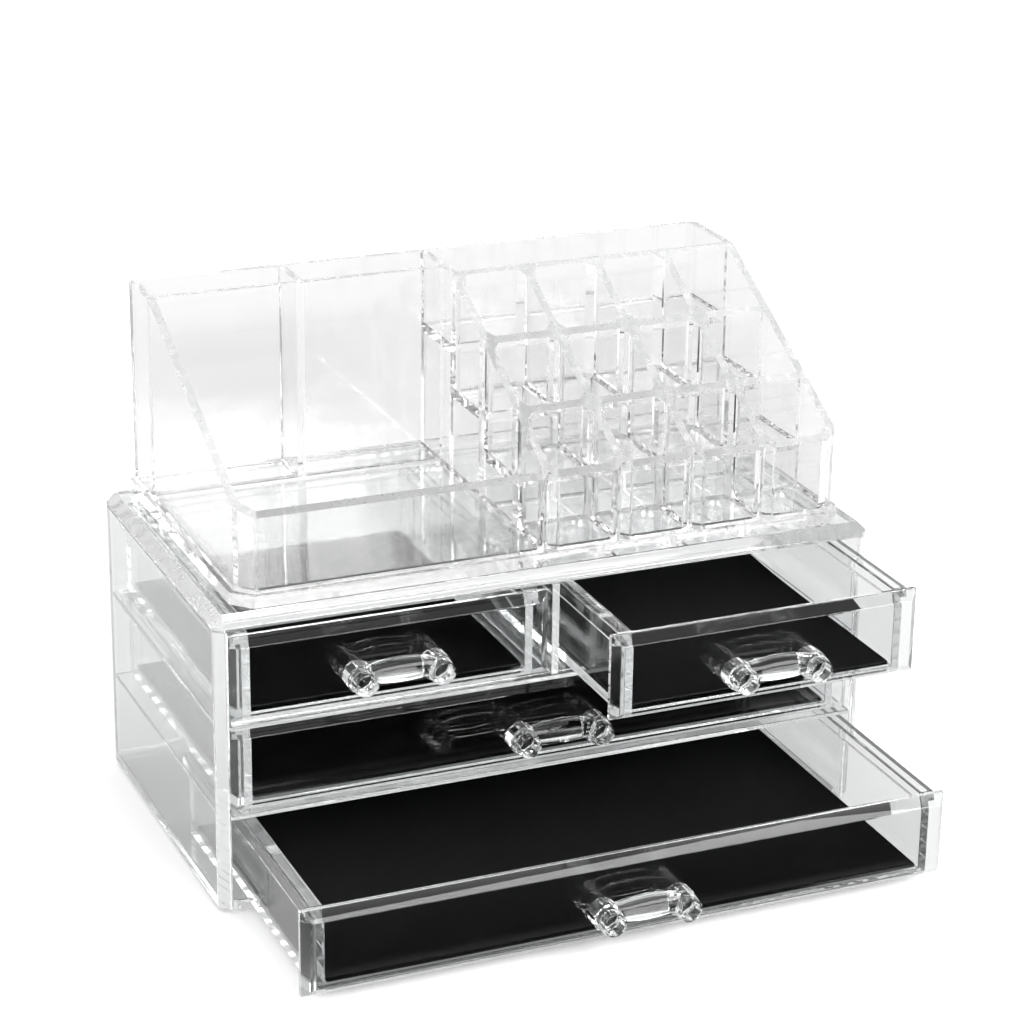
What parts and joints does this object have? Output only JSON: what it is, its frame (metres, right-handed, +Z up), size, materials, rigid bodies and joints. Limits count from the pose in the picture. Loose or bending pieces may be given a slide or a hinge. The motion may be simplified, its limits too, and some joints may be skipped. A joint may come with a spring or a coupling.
{
  "type": "makeup organizer",
  "caption": "Clear acrylic make-up organizer: small drawers side by side over full-width drawers, with a divided tray of cells and lipstick slots on top.",
  "frame": {"origin": "middle of the base plate's underside, where the organizer stands", "axes": "+Z up, -Y out of the drawer fronts, +X to the right seen from the front"},
  "size_m": [0.238, 0.2083, 0.1828],
  "materials": {
    "case_acrylic": "clear polished acrylic",
    "drawer_acrylic": "clear polished acrylic",
    "handle_acrylic": "clear faceted acrylic",
    "tray_acrylic": "clear moulded acrylic",
    "liner": "matte black"
  },
  "bodies": {
    "case": {"case_back": "case_acrylic", "case_base": "case_acrylic", "case_divider": "case_acrylic", "case_shelf_lower": "case_acrylic", "case_shelf_upper": "case_acrylic", "case_side_left": "case_acrylic", "case_side_right": "case_acrylic", "case_top": "case_acrylic"},
    "top_left_drawer": {"top_left_box": "drawer_acrylic", "top_left_front": "drawer_acrylic", "top_left_handle": "handle_acrylic", "top_left_liner": "liner"},
    "top_right_drawer": {"top_right_box": "drawer_acrylic", "top_right_front": "drawer_acrylic", "top_right_handle": "handle_acrylic", "top_right_liner": "liner"},
    "middle_drawer": {"middle_box": "drawer_acrylic", "middle_front": "drawer_acrylic", "middle_handle": "handle_acrylic", "middle_liner": "liner"},
    "bottom_drawer": {"bottom_box": "drawer_acrylic", "bottom_front": "drawer_acrylic", "bottom_handle": "handle_acrylic", "bottom_liner": "liner"},
    "tray": {"tray_back_wall": "tray_acrylic", "tray_base": "tray_acrylic", "tray_block_wall": "tray_acrylic", "tray_front_wall": "tray_acrylic", "tray_left_wall": "tray_acrylic", "tray_rear_floor": "tray_acrylic", "tray_right_wall": "tray_acrylic", "tray_row_divider": "tray_acrylic", "tray_row_wall": "tray_acrylic", "tray_slot_divider_1": "tray_acrylic", "tray_slot_divider_2": "tray_acrylic", "tray_slot_divider_3": "tray_acrylic", "tray_steps_1": "tray_acrylic", "tray_steps_2": "tray_acrylic", "tray_steps_3": "tray_acrylic", "tray_steps_4": "tray_acrylic"}
  },
  "joints": [
    {"name": "top_left_slide", "type": "slide", "parent": "case", "child": "top_left_drawer", "axis": [0, -1, 0], "range_m": [0, 0.1]},
    {"name": "top_right_slide", "type": "slide", "parent": "case", "child": "top_right_drawer", "axis": [0, -1, 0], "range_m": [-0.0435, 0.0565]},
    {"name": "middle_slide", "type": "slide", "parent": "case", "child": "middle_drawer", "axis": [0, -1, 0], "range_m": [0, 0.1]},
    {"name": "bottom_slide", "type": "slide", "parent": "case", "child": "bottom_drawer", "axis": [0, -1, 0], "range_m": [-0.0692, 0.0308]},
    {"name": "tray_lift", "type": "slide", "parent": "case", "child": "tray", "axis": [0, 0, 1], "range_m": [0, 0.1]}
  ]
}
